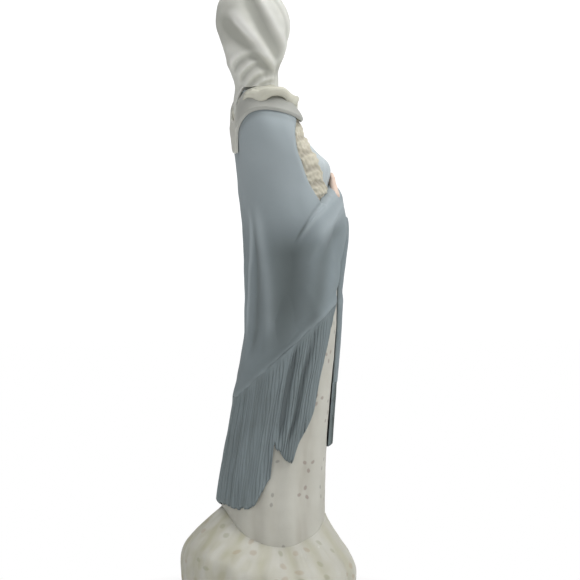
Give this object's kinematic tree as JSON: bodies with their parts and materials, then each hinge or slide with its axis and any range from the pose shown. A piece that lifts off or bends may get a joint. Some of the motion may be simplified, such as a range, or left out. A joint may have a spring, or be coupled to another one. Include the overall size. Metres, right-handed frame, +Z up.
{
  "type": "devotional figurine",
  "caption": "Standing Madonna in matte bisque porcelain, with a white veil, a long fringed shawl over a sprigged gown, a frilled collar, folded hands and a gathered hem.",
  "frame": {"origin": "centre of the base, on the surface that the figure stands on", "axes": "+Z up, the figure faces -Y and her right side is -X"},
  "size_m": [0.1066, 0.1007, 0.35],
  "materials": {
    "gown_white": "matte bisque with painted sprigs",
    "bodice_white": "matte bisque, faintly blue",
    "raw_bisque": "raw bisque, unpainted",
    "shawl_blue": "matte blue-grey bisque",
    "fringe_blue": "matte blue-grey bisque, combed in strands",
    "skin": "matte bisque, skin tint",
    "collar_cream": "matte cream bisque",
    "veil_white": "matte white bisque"
  },
  "bodies": {
    "root": {"gown_skirt": "gown_white", "gown_bodice": "bodice_white", "hem_flounce": "gown_white", "base_plate": "raw_bisque", "shawl_mantle": "shawl_blue", "shawl_drop_right": "shawl_blue", "shawl_drop_left": "shawl_blue", "fringe_back": "fringe_blue", "fringe_right": "fringe_blue", "fringe_left": "fringe_blue", "fringe_front": "fringe_blue", "forearm_right": "shawl_blue", "forearm_left": "shawl_blue", "hand_right": "skin", "hand_left": "skin", "collar_cape": "collar_cream", "collar_frill": "collar_cream", "lapel_right": "collar_cream", "lapel_left": "collar_cream", "head": "skin", "veil_hood": "veil_white", "veil_wrap": "veil_white"}
  },
  "joints": []
}
